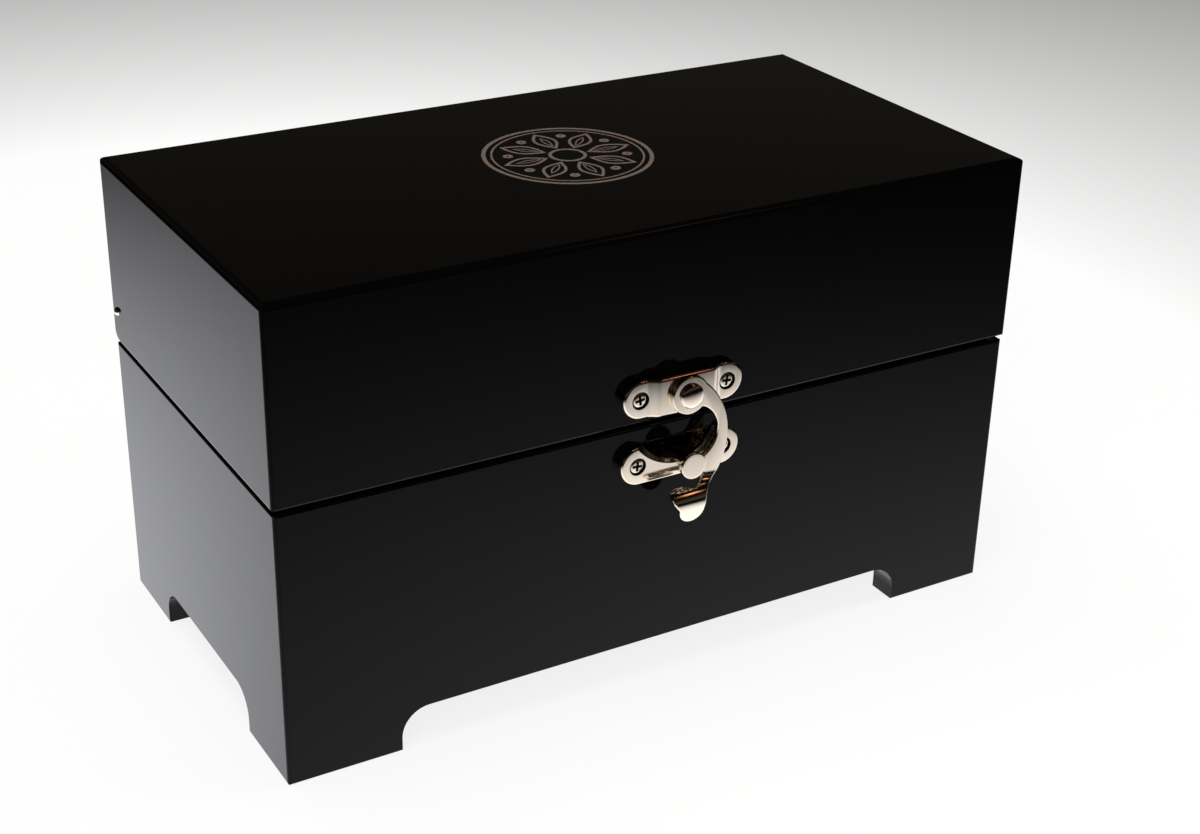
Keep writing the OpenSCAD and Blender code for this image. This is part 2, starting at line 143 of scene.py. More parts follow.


# %% [markdown]
# ## Nickel plate
#
# The latch is a small zinc casting, tumbled smooth and plated with nickel. Nickel
# is a warm, slightly yellow metal, and tumbling leaves it bright and almost a
# mirror: it turns black where it looks up into the dark room and pale where it
# looks down at the table. The casting's skin rolls a little, on a scale of about
# 1.5 mm, which makes small reflections wander. The bottom of a screw's cross and
# the seat round its head get a dark nickel colour as painted shade, and the floor
# of the scoop behind the hook gets a darker nickel as painted shade and painted
# dark reflection.

# %% Nickel plate
def nickel_plate(name, colour, smooth, rough):
    material, tree, shader, place = new_material(name)
    shader.inputs["Base Color"].default_value = linear(colour)
    shader.inputs["Metallic"].default_value = 1.0
    tumbling = add_node(
        tree, "ShaderNodeTexNoise", {"Scale": 1 / (2.5 * MM), "Detail": 3.0}, {"Vector": place}
    )
    gloss = add_node(
        tree, "ShaderNodeMapRange",
        {"From Min": 0.3, "From Max": 0.7, "To Min": smooth, "To Max": rough},
        {"Value": tumbling.outputs["Fac"]},
    )
    tree.links.new(gloss.outputs["Result"], shader.inputs["Roughness"])
    cast_skin = add_node(
        tree, "ShaderNodeTexNoise", {"Scale": 1 / (1.5 * MM), "Detail": 1.0}, {"Vector": place}
    )
    roll = add_node(
        tree, "ShaderNodeBump", {"Strength": 0.2, "Distance": 0.01 * MM},
        {"Height": cast_skin.outputs["Fac"]},
    )
    tree.links.new(roll.outputs["Normal"], shader.inputs["Normal"])
    return material


nickel = nickel_plate("nickel_plate_tumbled", "#e9dcc9", 0.1, 0.16)
screw_nickel = nickel_plate("nickel_plate_on_steel_screws", "#e6dac6", 0.12, 0.2)
# Painted shade: a dark nickel colour for the screw crosses and the screw seats.
recess_shade_nickel = nickel_plate("nickel_plate_painted_shade_in_recesses", "#38302a", 0.3, 0.45)
# Painted shade and painted dark reflection: a darker nickel colour for the scoop's floor.
scoop_shade_nickel = nickel_plate("nickel_plate_painted_shade_in_scoop", "#54463b", 0.1, 0.16)
print("made", nickel.name, screw_nickel.name, "and", recess_shade_nickel.name)


# %% [markdown]
# ## Velour and felt
#
# The lining boards are covered with cream velour, a short upright pile that is
# darkest where it is looked straight into and pale at a slant, which is what the
# shader's sheen does. Its nap is brushed in patches. The floor has a pad of wool
# felt, whose fibres are about 0.03 mm thick; drawn at that size they would not
# show, so the tangle here is 0.6 mm wide.

# %% Velour and felt
def pile_cloth(name, dark, light, sheen, nap_size, bump_depth):
    material, tree, shader, place = new_material(name)
    nap = add_node(
        tree, "ShaderNodeTexNoise", {"Scale": 1 / (14 * MM), "Detail": 3.0}, {"Vector": place}
    )
    fibres = add_node(
        tree, "ShaderNodeTexNoise", {"Scale": 1 / nap_size, "Detail": 4.0, "Roughness": 0.65},
        {"Vector": place},
    )
    both = add_node(
        tree, "ShaderNodeMath", {1: 0.35}, {0: nap.outputs["Fac"], 2: fibres.outputs["Fac"]},
        operation="MULTIPLY_ADD",
    )
    shade = add_node(tree, "ShaderNodeValToRGB", None, {"Fac": both.outputs["Value"]})
    shade.color_ramp.elements[0].position = 0.45
    shade.color_ramp.elements[0].color = linear(dark)
    shade.color_ramp.elements[1].position = 0.9
    shade.color_ramp.elements[1].color = linear(light)
    tree.links.new(shade.outputs["Color"], shader.inputs["Base Color"])
    shader.inputs["Roughness"].default_value = 0.95
    shader.inputs["Sheen Weight"].default_value = sheen
    shader.inputs["Sheen Roughness"].default_value = 0.4
    raised = add_node(
        tree, "ShaderNodeBump", {"Strength": 0.6, "Distance": bump_depth},
        {"Height": fibres.outputs["Fac"]},
    )
    tree.links.new(raised.outputs["Normal"], shader.inputs["Normal"])
    return material


velour = pile_cloth("velour_cream", "#b9a680", "#dccdab", 0.3, 0.5 * MM, 0.12 * MM)
felt = pile_cloth("felt_wool_beige", "#a18c66", "#c9b791", 0.15, 0.6 * MM, 0.25 * MM)
print("made", velour.name, "and", felt.name)


# %% [markdown]
# ## Dressing the parts that keep their shape
#
# The walls, panels, lining boards and hinge pins already have the right shape, so
# each only gets its finish. The record says which slot every part belongs to, and
# a short table turns a slot into a material.

# %% Finishes on the carried-over parts
finish_of_slot = {"lacquer": lacquer, "nickel": nickel, "lining_board": velour, "felt": felt}
slot_of_node = {part["node"]: part["material_slot"] for part in frame["record"]["subparts"]}

for node_name, node in frame["nodes"].items():
    node.data.materials.clear()
    node.data.materials.append(finish_of_slot[slot_of_node[node_name]])
print({slot: sum(s == slot for s in slot_of_node.values()) for slot in finish_of_slot})


# %% [markdown]
# ## Working on the front face
#
# Everything on the latch is easiest to draw lying down, with x to the right, y up
# the front of the box and z out of it towards the viewer. One matrix then stands
# a finished mesh up on the front. The places come from the engineering model, so
# the new pieces land where the old ones are.

# %% Places on the front face
def middle(node_name):
    low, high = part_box(node_name)
    return (low + high) / 2


rivet_place = middle("latch_rivet")
post_place = middle("catch_post")


def stand_up(place):
    """Turns a piece drawn lying down so that it sits on the box's front at a place."""
    return Matrix.Translation((place.x, front_y, place.z)) @ Matrix.Rotation(math.pi / 2, 4, "X")


def depth(y):
    """How far a plane lies in front of the body's front face, in millimetres."""
    return (front_y - y) / MM


print("rivet", [round(v / MM, 2) for v in rivet_place], "post", [round(v / MM, 2) for v in post_place])


# %% [markdown]
# ## From a bmesh to a finished piece
#
# Pieces are drawn in millimetres and scaled once at the end. The mesh is moved to
# its place, and its object stays at the origin, as the engineering parts do. The
# Bevel modifier rounds every crease with a real radius, and hardened normals keep
# the flat faces flat between the rounds. Every piece carries three finishes: its
# own, a dark nickel as number 1 that paints shade into recesses, and a darker
# nickel as number 2 that paints shade and dark reflection into the scoop. A face
# names the number that it wears.

# %% Finishing helpers
# Numbers of the finishes that paint shade: recesses and seats, then the scoop's floor.
recess_shade, scoop_shade = 1, 2


def finish_piece(bm, name, place, body, material, replaced, bevel_mm=0.0, angle=35):
    """Makes an object from a bmesh drawn lying down in millimetres."""
    bmesh.ops.remove_doubles(bm, verts=bm.verts, dist=0.001)
    bmesh.ops.recalc_face_normals(bm, faces=bm.faces)
    bmesh.ops.transform(bm, matrix=stand_up(place) @ Matrix.Scale(MM, 4), verts=bm.verts)
    mesh = bpy.data.meshes.new(name)
    bm.to_mesh(mesh)
    bm.free()
    for face in mesh.polygons:
        face.use_smooth = True
    mesh.set_sharp_from_angle(angle=math.radians(angle))
    piece = bpy.data.objects.new(name, mesh)
    bpy.context.scene.collection.objects.link(piece)
    for finish in (material, recess_shade_nickel, scoop_shade_nickel):
        piece.data.materials.append(finish)
    if bevel_mm:
        rounding = piece.modifiers.new("soft_edges", "BEVEL")
        rounding.width = bevel_mm * MM
        rounding.segments = 4
        rounding.limit_method = "ANGLE"
        rounding.angle_limit = math.radians(angle)
        rounding.harden_normals = True
        rounding.miter_outer = "MITER_ARC"
    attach(piece, body)
    for node_name in replaced:
        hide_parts(node_name)
    return piece


def spun(profile, steps=64):
    """A bmesh turned from a half section: a list of (radius, height) in millimetres."""
    bm = bmesh.new()
    points = [bm.verts.new((radius, 0, height)) for radius, height in profile]
    edges = [bm.edges.new(pair) for pair in zip(points, points[1:])]
    bmesh.ops.spin(
        bm, geom=points + edges, cent=(0, 0, 0), axis=(0, 0, 1), angle=2 * math.pi,
        steps=steps, use_merge=True,
    )
    bmesh.ops.remove_doubles(bm, verts=bm.verts, dist=0.001)
    bmesh.ops.recalc_face_normals(bm, faces=bm.faces)
    return bm


def carve(bm, cutters):
    """Cuts closed bmeshes out of another, as a mill would, and returns the result."""
    holder = bpy.data.objects.new("stock", bpy.data.meshes.new("stock"))
    bm.to_mesh(holder.data)
    bm.free()
    bpy.context.scene.collection.objects.link(holder)
    tools = []
    for cutter in cutters:
        tool = bpy.data.objects.new("cutter", bpy.data.meshes.new("cutter"))
        cutter.to_mesh(tool.data)
        cutter.free()
        bpy.context.scene.collection.objects.link(tool)
        cut = holder.modifiers.new("cut", "BOOLEAN")
        cut.operation = "DIFFERENCE"
        cut.solver = "EXACT"
        cut.object = tool
        tools.append(tool)
    bpy.context.view_layer.update()
    result = bmesh.new()
    result.from_mesh(holder.evaluated_get(bpy.context.evaluated_depsgraph_get()).to_mesh())
    for thing in [holder] + tools:
        mesh = thing.data
        bpy.data.objects.remove(thing)
        bpy.data.meshes.remove(mesh)
    return result


print("finishing helpers ready")


# %% [markdown]
# ## The two plates
#
# Both plates are the same casting blank: a bar with round ends. A circle is
# pulled apart into that outline and raised to its thickness, and its upper rim is
# rounded. The lid's plate is lifted in its middle to carry the rivet, with soft
# ramps on both sides. The body's plate has a bevelled scoop in its upper edge,
# which lets the hook come round the post. The scoop's floor leans back, so it
# mirrors the dim room. Both plates have round seats for the screw heads.

# %% Plate blank
plate_low, plate_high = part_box("latch_plate")
catch_low, catch_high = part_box("catch_plate")
plate_length = (plate_high.x - plate_low.x) / MM
plate_height = (plate_high.z - plate_low.z) / MM
boss_top = depth(plate_low.y)
lid_gap = depth(lid_front_y)
catch_top = depth(catch_low.y)
lobe_top = catch_top + lid_gap
screw_pitch, seat_r, seat_depth = 26.7, 2.5, 1.5
print("plates", round(plate_length, 2), "x", round(plate_height, 2), "mm, boss at", round(boss_top, 2))


def plate_blank(base, top):
    """A bar with round ends, from one depth to another."""
    bm = bmesh.new()
    steps = 96
    bmesh.ops.create_circle(
        bm, cap_ends=True, segments=steps, radius=plate_height / 2,
        matrix=Matrix.Translation((0, 0, base)) @ Matrix.Rotation(math.pi / steps, 4, "Z"),
    )
    reach = (plate_length - plate_height) / 2
    for point in bm.verts:
        point.co.x += math.copysign(reach, point.co.x)
    raised = bmesh.ops.extrude_face_region(bm, geom=bm.faces[:])
    moved = [item for item in raised["geom"] if isinstance(item, bmesh.types.BMVert)]
    bmesh.ops.translate(bm, verts=moved, vec=(0, 0, top - base))
    bmesh.ops.recalc_face_normals(bm, faces=bm.faces)
    return bm


def soften_rim(bm, width):
    """Rounds the upper rim of a plate, as tumbling does."""
    bm.normal_update()
    rim = [
        e for e in bm.edges
        if len(e.link_faces) == 2 and max(f.normal.z for f in e.link_faces) > 0.5
        and min(abs(f.normal.z) for f in e.link_faces) < 0.3
    ]
    bmesh.ops.bevel(
        bm, geom=rim, offset=width, offset_type="OFFSET", segments=5, profile=0.5,
        affect="EDGES", material=-1, clamp_overlap=True,
    )


def paint_seat_shade(bm, face):
    """Paints shade on the walls and floors of the screw seats with the dark nickel."""
    for part in bm.faces:
        centre = part.calc_center_median()
        from_screw = math.hypot(abs(centre.x) - screw_pitch / 2, centre.y)
        if from_screw < seat_r + 0.02 and centre.z < face - 0.2:
            part.material_index = recess_shade
    return bm


def screw_seats(face):
    """Cutters for the two round seats of the screw heads."""
    cutters = []
    for side in (-1, 1):
        seat = bmesh.new()
        bmesh.ops.create_cone(
            seat, cap_ends=True, segments=48, radius1=seat_r, radius2=seat_r, depth=6,
            matrix=Matrix.Translation((side * screw_pitch / 2, 0, face - seat_depth + 3)),
        )
        cutters.append(seat)
    return cutters


# %% Lid plate
def lid_plate():
    bm = plate_blank(lid_gap, lobe_top)
    boss_half, ramp = 7.9, 3.6
    cuts = [boss_half + ramp * i / 14 for i in range(15)]
    for across in [-c for c in cuts] + cuts:
        bmesh.ops.bisect_plane(
            bm, geom=bm.verts[:] + bm.edges[:] + bm.faces[:], plane_co=(across, 0, 0),
            plane_no=(1, 0, 0),
        )
    rise = boss_top - lobe_top
    for point in bm.verts:
        if point.co.z > lobe_top - 0.01:
            out = min(max((abs(point.co.x) - boss_half) / ramp, 0.0), 1.0)
            point.co.z += rise * (1 - out) ** 2 * (1 + 2 * out)
    soften_rim(bm, 0.8)
    return paint_seat_shade(carve(bm, screw_seats(lobe_top)), lobe_top)


lid_plate_piece = finish_piece(
    lid_plate(), "lid_plate", rivet_place, "lid", nickel, ["latch_plate"], bevel_mm=0.25
)
print("lid plate has", len(lid_plate_piece.data.polygons), "faces before rounding")


# %% Body plate
scoop_y, scoop_z, scoop_lean = 11.2, -1.1, math.radians(-14)


def body_plate():
    bm = plate_blank(0.0, catch_top)
    soften_rim(bm, 0.6)
    scoop = bmesh.new()
    bmesh.ops.create_cone(
        scoop, cap_ends=True, segments=128, radius1=12.6, radius2=18.1, depth=5,
        matrix=Matrix.Translation((0, scoop_y, scoop_z)) @ Matrix.Rotation(scoop_lean, 4, "X")
        @ Matrix.Translation((0, 0, 2.5)),
    )
    bm = paint_seat_shade(carve(bm, [scoop] + screw_seats(catch_top)), catch_top)
    bm.normal_update()
    # Painted shade and painted dark reflection: the scoop's floor gets the darker nickel colour.
    for part in bm.faces:
        if 0.9 < part.normal.z < 0.99 and 0.2 < part.normal.y:
            part.material_index = scoop_shade
    return bm


body_plate_piece = finish_piece(
    body_plate(), "body_plate", post_place, "box", nickel, ["catch_plate"], bevel_mm=0.25
)
print("body plate has", len(body_plate_piece.data.polygons), "faces before rounding")


# %% [markdown]
# ## Post and rivet
#
# Both are turned parts, so both are half sections spun round their axis. The post
# has a neck and a flat head with soft edges. The rivet was closed with a cupped
# tool, which left a low dome with a small flat rim.

# %% Post and rivet
def quarter(centre_r, centre_z, radius, start, end, steps=5):
    """Points of an arc in a half section, angles in degrees from the outward side."""
    return [
        (
            centre_r + radius * math.cos(math.radians(start + (end - start) * i / steps)),
            centre_z + radius * math.sin(math.radians(start + (end - start) * i / steps)),
        )
        for i in range(steps + 1)
    ]


post_low, post_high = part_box("catch_post")
post_top = depth(post_low.y)
head_r = (post_high.x - post_low.x) / MM / 2
neck_r, head_back, soft = 2.2, 7.9, 0.4

post_section = (
    [(0, 0), (neck_r, 0), (neck_r, head_back - 0.2), (neck_r + 0.2, head_back)]
    + quarter(head_r - soft, head_back + soft, soft, -90, 0)
    + quarter(head_r - soft, post_top - soft, soft, 0, 90)
    + [(head_r - 1.2, post_top + 0.02), (0, post_top + 0.04)]
)
post_piece = finish_piece(
    spun(post_section), "post", post_place, "box", nickel, ["catch_post"], angle=50
)

rivet_low, rivet_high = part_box("latch_rivet")
rivet_top = depth(rivet_low.y)
rivet_r = (rivet_high.x - rivet_low.x) / MM / 2
rivet_base, dome_rise = rivet_top - 1.75, 1.3
rivet_section = (
    [(0, rivet_base - 5), (1.8, rivet_base - 5), (1.8, rivet_base)]
    + quarter(rivet_r - 0.2, rivet_base + 0.2, 0.2, -90, 0, 3)
    + [(rivet_r, rivet_base + 0.4)]
    + [
        (rivet_r * math.cos(math.radians(a)), rivet_base + 0.45 + dome_rise * math.sin(math.radians(a)))
        for a in range(6, 91, 7)
    ]
)
rivet_section[-1] = (0, rivet_top)
rivet_piece = finish_piece(
    spun(rivet_section), "rivet", rivet_place, "lid", nickel, ["latch_rivet"], angle=50
)
print("post head", round(2 * head_r, 2), "mm, rivet head", round(2 * rivet_r, 2), "mm")


# %% [markdown]
# ## Screws
#
# Each plate is held by two small raised-head screws with a cross recess. The head
# is spun, and the recess is cut with two crossed bars. No two screws stop at the
# same angle, so each is turned a little differently.

# %% Screws
cross_r = 1.65


def screw(x, face, turn):
    """One screw, drawn lying down, with its head in a seat."""
    top = face - 0.2
    section = (
        [(0, face - 7.5), (1.1, face - 6), (1.1, face - seat_depth), (2.1, face - seat_depth)]
        + quarter(1.75, top - 0.45, 0.35, 0, 60, 4)
        + [(1.2, top - 0.03), (0, top)]
    )
    bars = []
    for step in (0, 90):
        bar = bmesh.new()
        bmesh.ops.create_cube(bar, size=1)
        for point in bar.verts:
            inner = point.co.z < 0
            point.co.x *= 2.2 if inner else 3.1
            point.co.y *= 0.6 if inner else 0.8
            point.co.z = top - 1.1 if inner else top + 0.2
        bmesh.ops.rotate(bar, verts=bar.verts, matrix=Matrix.Rotation(math.radians(turn + step), 3, "Z"))
        bars.append(bar)
    bm = carve(spun(section, 48), bars)
    # Painted shade: the floor and walls of the cross recess get the dark nickel colour.
    for part in bm.faces:
        centre = part.calc_center_median()
        if math.hypot(centre.x, centre.y) < cross_r and centre.z < top - 0.15:
            part.material_index = recess_shade
    bmesh.ops.translate(bm, verts=bm.verts, vec=(x, 0, 0))
    return bm


def screw_pair(name, place, face, body, node_name, turns):
    """The two screws of a plate as one object."""
    both = bmesh.new()
    for side, turn in zip((-1, 1), turns):
        one = screw(side * screw_pitch / 2, face, turn)
        holder = bpy.data.meshes.new("one_screw")
        one.to_mesh(holder)
        one.free()
        both.from_mesh(holder)
        bpy.data.meshes.remove(holder)
    return finish_piece(both, name, place, body, screw_nickel, [node_name], bevel_mm=0.05)


lid_screws = screw_pair("lid_screws", rivet_place, lobe_top, "lid", "latch_screws", (8, -6))
body_screws = screw_pair("body_screws", post_place, catch_top, "box", "catch_screws", (-4, 12))
print("four screws, faces", len(lid_screws.data.polygons) + len(body_screws.data.polygons))


# %% [markdown]
# ## The hook
#
# The hook is one stamped piece: an eye on the rivet, a curved strap that passes
# to the right of the post, and an arm that bends out of the box and curls down
# into a thumb tab. It is made as the press makes it. First the outline is cut
# flat and its edges are rounded; then the flat blank is bent round two rollers.
# For the bend, every point keeps its distance from the middle of the sheet.

# %% Measures of the hook
thick = 1.75
sheet_back = boss_top + 0.1
sheet_mid = sheet_back + thick / 2
post_drop = (post_place.z - rivet_place.z) / MM
roll_in, roll_out = 3.4, 3.4
slope, lean = math.radians(75), math.radians(14)
crest = post_drop - 10.7
bend_start = crest + (roll_in + roll_out) * math.sin(slope)
curl_depth = sheet_mid + (roll_in + roll_out) * (1 - math.cos(slope)) - roll_out
print("post lies", round(-post_drop, 2), "mm below the rivet; bend starts at", round(bend_start, 2))


# %% Outline of the hook
def arc(centre, radius, start, end, steps):
    """Points of an arc, angles in degrees, both ends included."""
    return [
        Vector((
            centre[0] + radius * math.cos(math.radians(start + (end - start) * i / steps)),
            centre[1] + radius * math.sin(math.radians(start + (end - start) * i / steps)),
        ))
        for i in range(steps + 1)
    ]


def angle_of(point, centre):
    return math.degrees(math.atan2(point[1] - centre[1], point[0] - centre[0]))


def meeting(c1, r1, c2, r2, side):
    """Where two circles meet; side chooses one of the two points."""
    gap = Vector(c2) - Vector(c1)
    along = (r1 * r1 - r2 * r2 + gap.length_squared) / (2 * gap.length)
    off = math.sqrt(r1 * r1 - along * along)
    unit = gap.normalized()
    return Vector(c1) + unit * along + Vector((-unit.y, unit.x)) * off * side


eye_c, eye_r = (0, 0), 5.5
outer_c, outer_r = (-9, post_drop + 5.9), 21.25
inner_c, inner_r = (0.8, post_drop + 7.9), 8.1
tip_c, tip_r = (-1.15, post_drop - 11.75), 3.9
arm = [(4.7, -7.85), (3.7, -8.75), (3.1, -9.9), (2.8, -11.4)]
ledge = [
    (-5.1, -11.6), (-5.4, -11.1), (-6.1, -10.3), (-6.75, -9.4), (-7.0, -8.4),
    (-6.6, -7.4), (-5.3, -6.97), (-2.6, -6.83), (1.15, -7.71), (3.4, -6.47), (5.05, -4.94),
]
nose = [(4.9, -3.1), (2.7, -3.1)]


def below_post(points):
    """Points measured from the post, as points measured from the rivet."""
    return [Vector((x, y + post_drop)) for x, y in points]


def hook_outline():
    """The bent hook's outline seen from the front: strap, arm, tip, ledge, nose and eye."""
    leave = max((meeting(eye_c, eye_r, outer_c, outer_r, s) for s in (-1, 1)), key=lambda p: p.x)
    enter = max((meeting(eye_c, eye_r, inner_c, inner_r, s) for s in (-1, 1)), key=lambda p: p.x)
    return (
        arc(outer_c, outer_r, angle_of(leave, outer_c), -31, 36)
        + below_post(arm)
        + arc(tip_c, tip_r, 0, -175, 22)
        + below_post(ledge + nose)
        + arc(inner_c, inner_r, -76, angle_of(enter, inner_c), 30)
        + arc(eye_c, eye_r, angle_of(enter, eye_c), angle_of(leave, eye_c) - 360, 44)[1:-1]
    )


outline = hook_outline()
print("outline of", len(outline), "points, from", [round(v, 2) for v in outline[0]])


# %% [markdown]
# The flat blank needs the length that the bends use up, so each outline point is
# first moved down the sheet to where it lies before bending. The sheet's slope at
# a height gives that length, and the same two rollers later turn it back.

# %% Bending the blank
rim_round = 0.6
bend_len = roll_in * slope
curl_len = roll_out * (slope + lean)
flat_end = -bend_start + bend_len + curl_len
bend_end = bend_start - roll_in * math.sin(slope)
curl_end = crest - roll_out * math.sin(lean)


def flat_length(height):
    """Distance down the flat blank, from the rivet, of a point at a height on the bent hook."""
    if height >= bend_start:
        return -height
    if height >= bend_end:
        return -bend_start + roll_in * math.asin((bend_start - height) / roll_in)
    if height >= curl_end:
        return -bend_start + bend_len + roll_out * (slope - math.asin((height - crest) / roll_out))
    return flat_end + (curl_end - height) / math.cos(lean)


def bent(point):
    """Where a point of the flat blank goes: x, minus the length down, distance from mid sheet."""
    x, down, off = point.x, -point.y, point.z
    past_bend = down + bend_start
    if past_bend <= 0:
        turn, height, out = 0.0, -down, sheet_mid
    elif past_bend <= bend_len:
        turn = past_bend / roll_in
        height = bend_start - roll_in * math.sin(turn)
        out = sheet_mid + roll_in * (1 - math.cos(turn))
    else:
        turn = max(slope - (past_bend - bend_len) / roll_out, -lean)
        height = crest + roll_out * math.sin(turn)
        out = curl_depth + roll_out * math.cos(turn)
        tail = max(0.0, down - flat_end)
        height -= tail * math.cos(lean)
        out -= tail * math.sin(lean)
    return Vector((x, height + off * math.sin(turn), out + off * math.cos(turn)))


def hook_blank():
    bm = bmesh.new()
    points = [bm.verts.new((p.x, -flat_length(p.y), -thick / 2)) for p in outline]
    bm.faces.new(points)
    corners = (nose[0], nose[1], ledge[-1], ledge[-2], ledge[-3])
    for corner, cut in zip(corners, (0.5, 0.5, 1.0, 1.0, 1.2)):
        spot = below_post([corner])[0]
        sharp = [v for v, p in zip(points, outline) if v.is_valid and (p - spot).length < 0.01]
        bmesh.ops.bevel(
            bm, geom=sharp, offset=cut, offset_type="OFFSET", segments=5, profile=0.5,
            affect="VERTICES", material=-1,
        )
    raised = bmesh.ops.extrude_face_region(bm, geom=bm.faces[:])
    moved = [item for item in raised["geom"] if isinstance(item, bmesh.types.BMVert)]
    bmesh.ops.translate(bm, verts=moved, vec=(0, 0, thick))
    bmesh.ops.recalc_face_normals(bm, faces=bm.faces)
    bore = bmesh.new()
    bmesh.ops.create_cone(bore, cap_ends=True, segments=48, radius1=1.85, radius2=1.85, depth=6)
    bm = carve(bm, [bore])
    rims = [
        e for e in bm.edges
        if all(abs(abs(v.co.z) - thick / 2) < 0.001 for v in e.verts)
        and len(e.link_faces) == 2 and e.calc_face_angle() > 1.0
        and Vector((e.verts[0].co.x, e.verts[0].co.y)).length > 2
    ]
    bmesh.ops.bevel(
        bm, geom=rims, offset=rim_round, offset_type="OFFSET", segments=5, profile=0.5,
        affect="EDGES", material=-1, clamp_overlap=True,
    )
    return bm


def hook():
    bm = hook_blank()
    length = bend_len + curl_len
    for i in range(41):
        bmesh.ops.bisect_plane(
            bm, geom=bm.verts[:] + bm.edges[:] + bm.faces[:],
            plane_co=(0, bend_start - length * i / 40, 0), plane_no=(0, 1, 0),
        )
    for point in bm.verts:
        point.co = bent(point.co)
    return bm


hook_piece = finish_piece(hook(), "hook", rivet_place, "hook", nickel, ["latch_hook"], angle=60)
print("hook of", len(hook_piece.data.polygons), "faces")


# %% [markdown]
# ## A printed medallion on the lid
#
# The lid carries one flat ornament in metallic ink, in the middle of the top. It
# is a plain rosette of the kind found in pattern books: two rings, eight petals
# and a ring of beads. Ink has a thickness, here drawn as 0.03 mm, so the print is
# real geometry.

# %% Metallic ink
def metallic_ink():
    material, tree, shader, place = new_material("ink_screen_printed_silver_brown")
    grain = add_node(
        tree, "ShaderNodeTexNoise", {"Scale": 1 / (0.5 * MM), "Detail": 2.0}, {"Vector": place}
    )
    tone = add_node(tree, "ShaderNodeValToRGB", None, {"Fac": grain.outputs["Fac"]})
    tone.color_ramp.elements[0].position = 0.3
    tone.color_ramp.elements[0].color = linear("#5d504a")
    tone.color_ramp.elements[1].position = 0.7
    tone.color_ramp.elements[1].color = linear("#7d6f67")
    tree.links.new(tone.outputs["Color"], shader.inputs["Base Color"])
    shader.inputs["Metallic"].default_value = 0.3
    shader.inputs["Roughness"].default_value = 0.45
    return material


ink = metallic_ink()


# %% Rosette
def ring(bm, centre, inner, outer, steps=96):
    """A flat ring between two radii."""
    loops = []
    for radius in (inner, outer):
        made = bmesh.ops.create_circle(
            bm, cap_ends=False, segments=steps, radius=radius,
            matrix=Matrix.Translation((centre[0], centre[1], 0)),
        )
        loops += list({e for v in made["verts"] for e in v.link_edges})
    bmesh.ops.bridge_loops(bm, edges=loops)


def leaf_line(bm, tip_in, tip_out, half_width, line, turn, centre=(0, 0), steps=16):
    """The outline of a pointed petal, drawn as a band of even width."""
    length = tip_out - tip_in
    sides = []
    for inset in (0.0, line):
        half_length = length / 2 - inset * 1.8
        width = half_width - inset
        upper = [
            (-half_length + 2 * half_length * i / steps, width * math.sin(math.pi * i / steps))
            for i in range(steps + 1)
        ]
        lower = [(x, -y) for x, y in reversed(upper[1:-1])]
        sides.append([bm.verts.new((x + tip_in + length / 2, y, 0)) for x, y in upper + lower])
    count = len(sides[0])
    for i in range(count):
        j = (i + 1) % count
        bm.faces.new((sides[0][i], sides[0][j], sides[1][j], sides[1][i]))
    points = sides[0] + sides[1]
    bmesh.ops.rotate(bm, verts=points, matrix=Matrix.Rotation(turn, 3, "Z"))
    bmesh.ops.translate(bm, verts=points, vec=(centre[0], centre[1], 0))


def medallion():
    bm = bmesh.new()
    ring(bm, (0, 0), 15.6, 16.4)
    ring(bm, (0, 0), 14.3, 14.7)
    ring(bm, (0, 0), 3.0, 3.7, 48)
    for k in range(8):
        leaf_line(bm, 4.2, 13.6, 2.3, 0.55, k * math.pi / 4)
        leaf_line(bm, 5.6, 11.2, 0.7, 0.3, k * math.pi / 4)
        bead = (k + 0.5) * math.pi / 4
        ring(bm, (11.4 * math.cos(bead), 11.4 * math.sin(bead)), 0.25, 1.0, 24)
    raised = bmesh.ops.extrude_face_region(bm, geom=bm.faces[:])
    moved = [item for item in raised["geom"] if isinstance(item, bmesh.types.BMVert)]
    bmesh.ops.translate(bm, verts=moved, vec=(0, 0, 0.03))
    bmesh.ops.recalc_face_normals(bm, faces=bm.faces)
    return bm


top_low, top_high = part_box("lid_top_panel")
enlarged = 1.45
bm = medallion()
spot = Matrix.Translation((1 * MM, (top_low.y + top_high.y) / 2 + 1.5 * MM, top_high.z - 0.002 * MM))
size = Matrix.Diagonal((enlarged * MM, enlarged * MM, MM, 1))
bmesh.ops.transform(bm, matrix=spot @ size, verts=bm.verts)
print_mesh = bpy.data.meshes.new("medallion_print")
bm.to_mesh(print_mesh)
bm.free()
medallion_piece = bpy.data.objects.new("medallion_print", print_mesh)
bpy.context.scene.collection.objects.link(medallion_piece)
print_mesh.materials.append(ink)
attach(medallion_piece, "lid")
print("medallion of", len(print_mesh.polygons), "faces")


# %% [markdown]
# ## Table, light and camera
#
# The box stands on a white table that is lit up round it and fades to grey far
# behind. Black lacquer shows little but what it mirrors, so the table does most of
# the work. Cameras see it as plain white. Mirrors see a pool of light, brightest
# just behind the box, which falls away all round. That is why each side of the box
# is pale at its foot and black at its top. Both fall-offs start from the distance to
# one spot, so that they are round like the pool of light on a real table.

# %% Table
seen_reach, seen_slope, glow_share = 0.36, 2.6, 0.85
mirror_peak, mirror_power = 2.3, 2.2


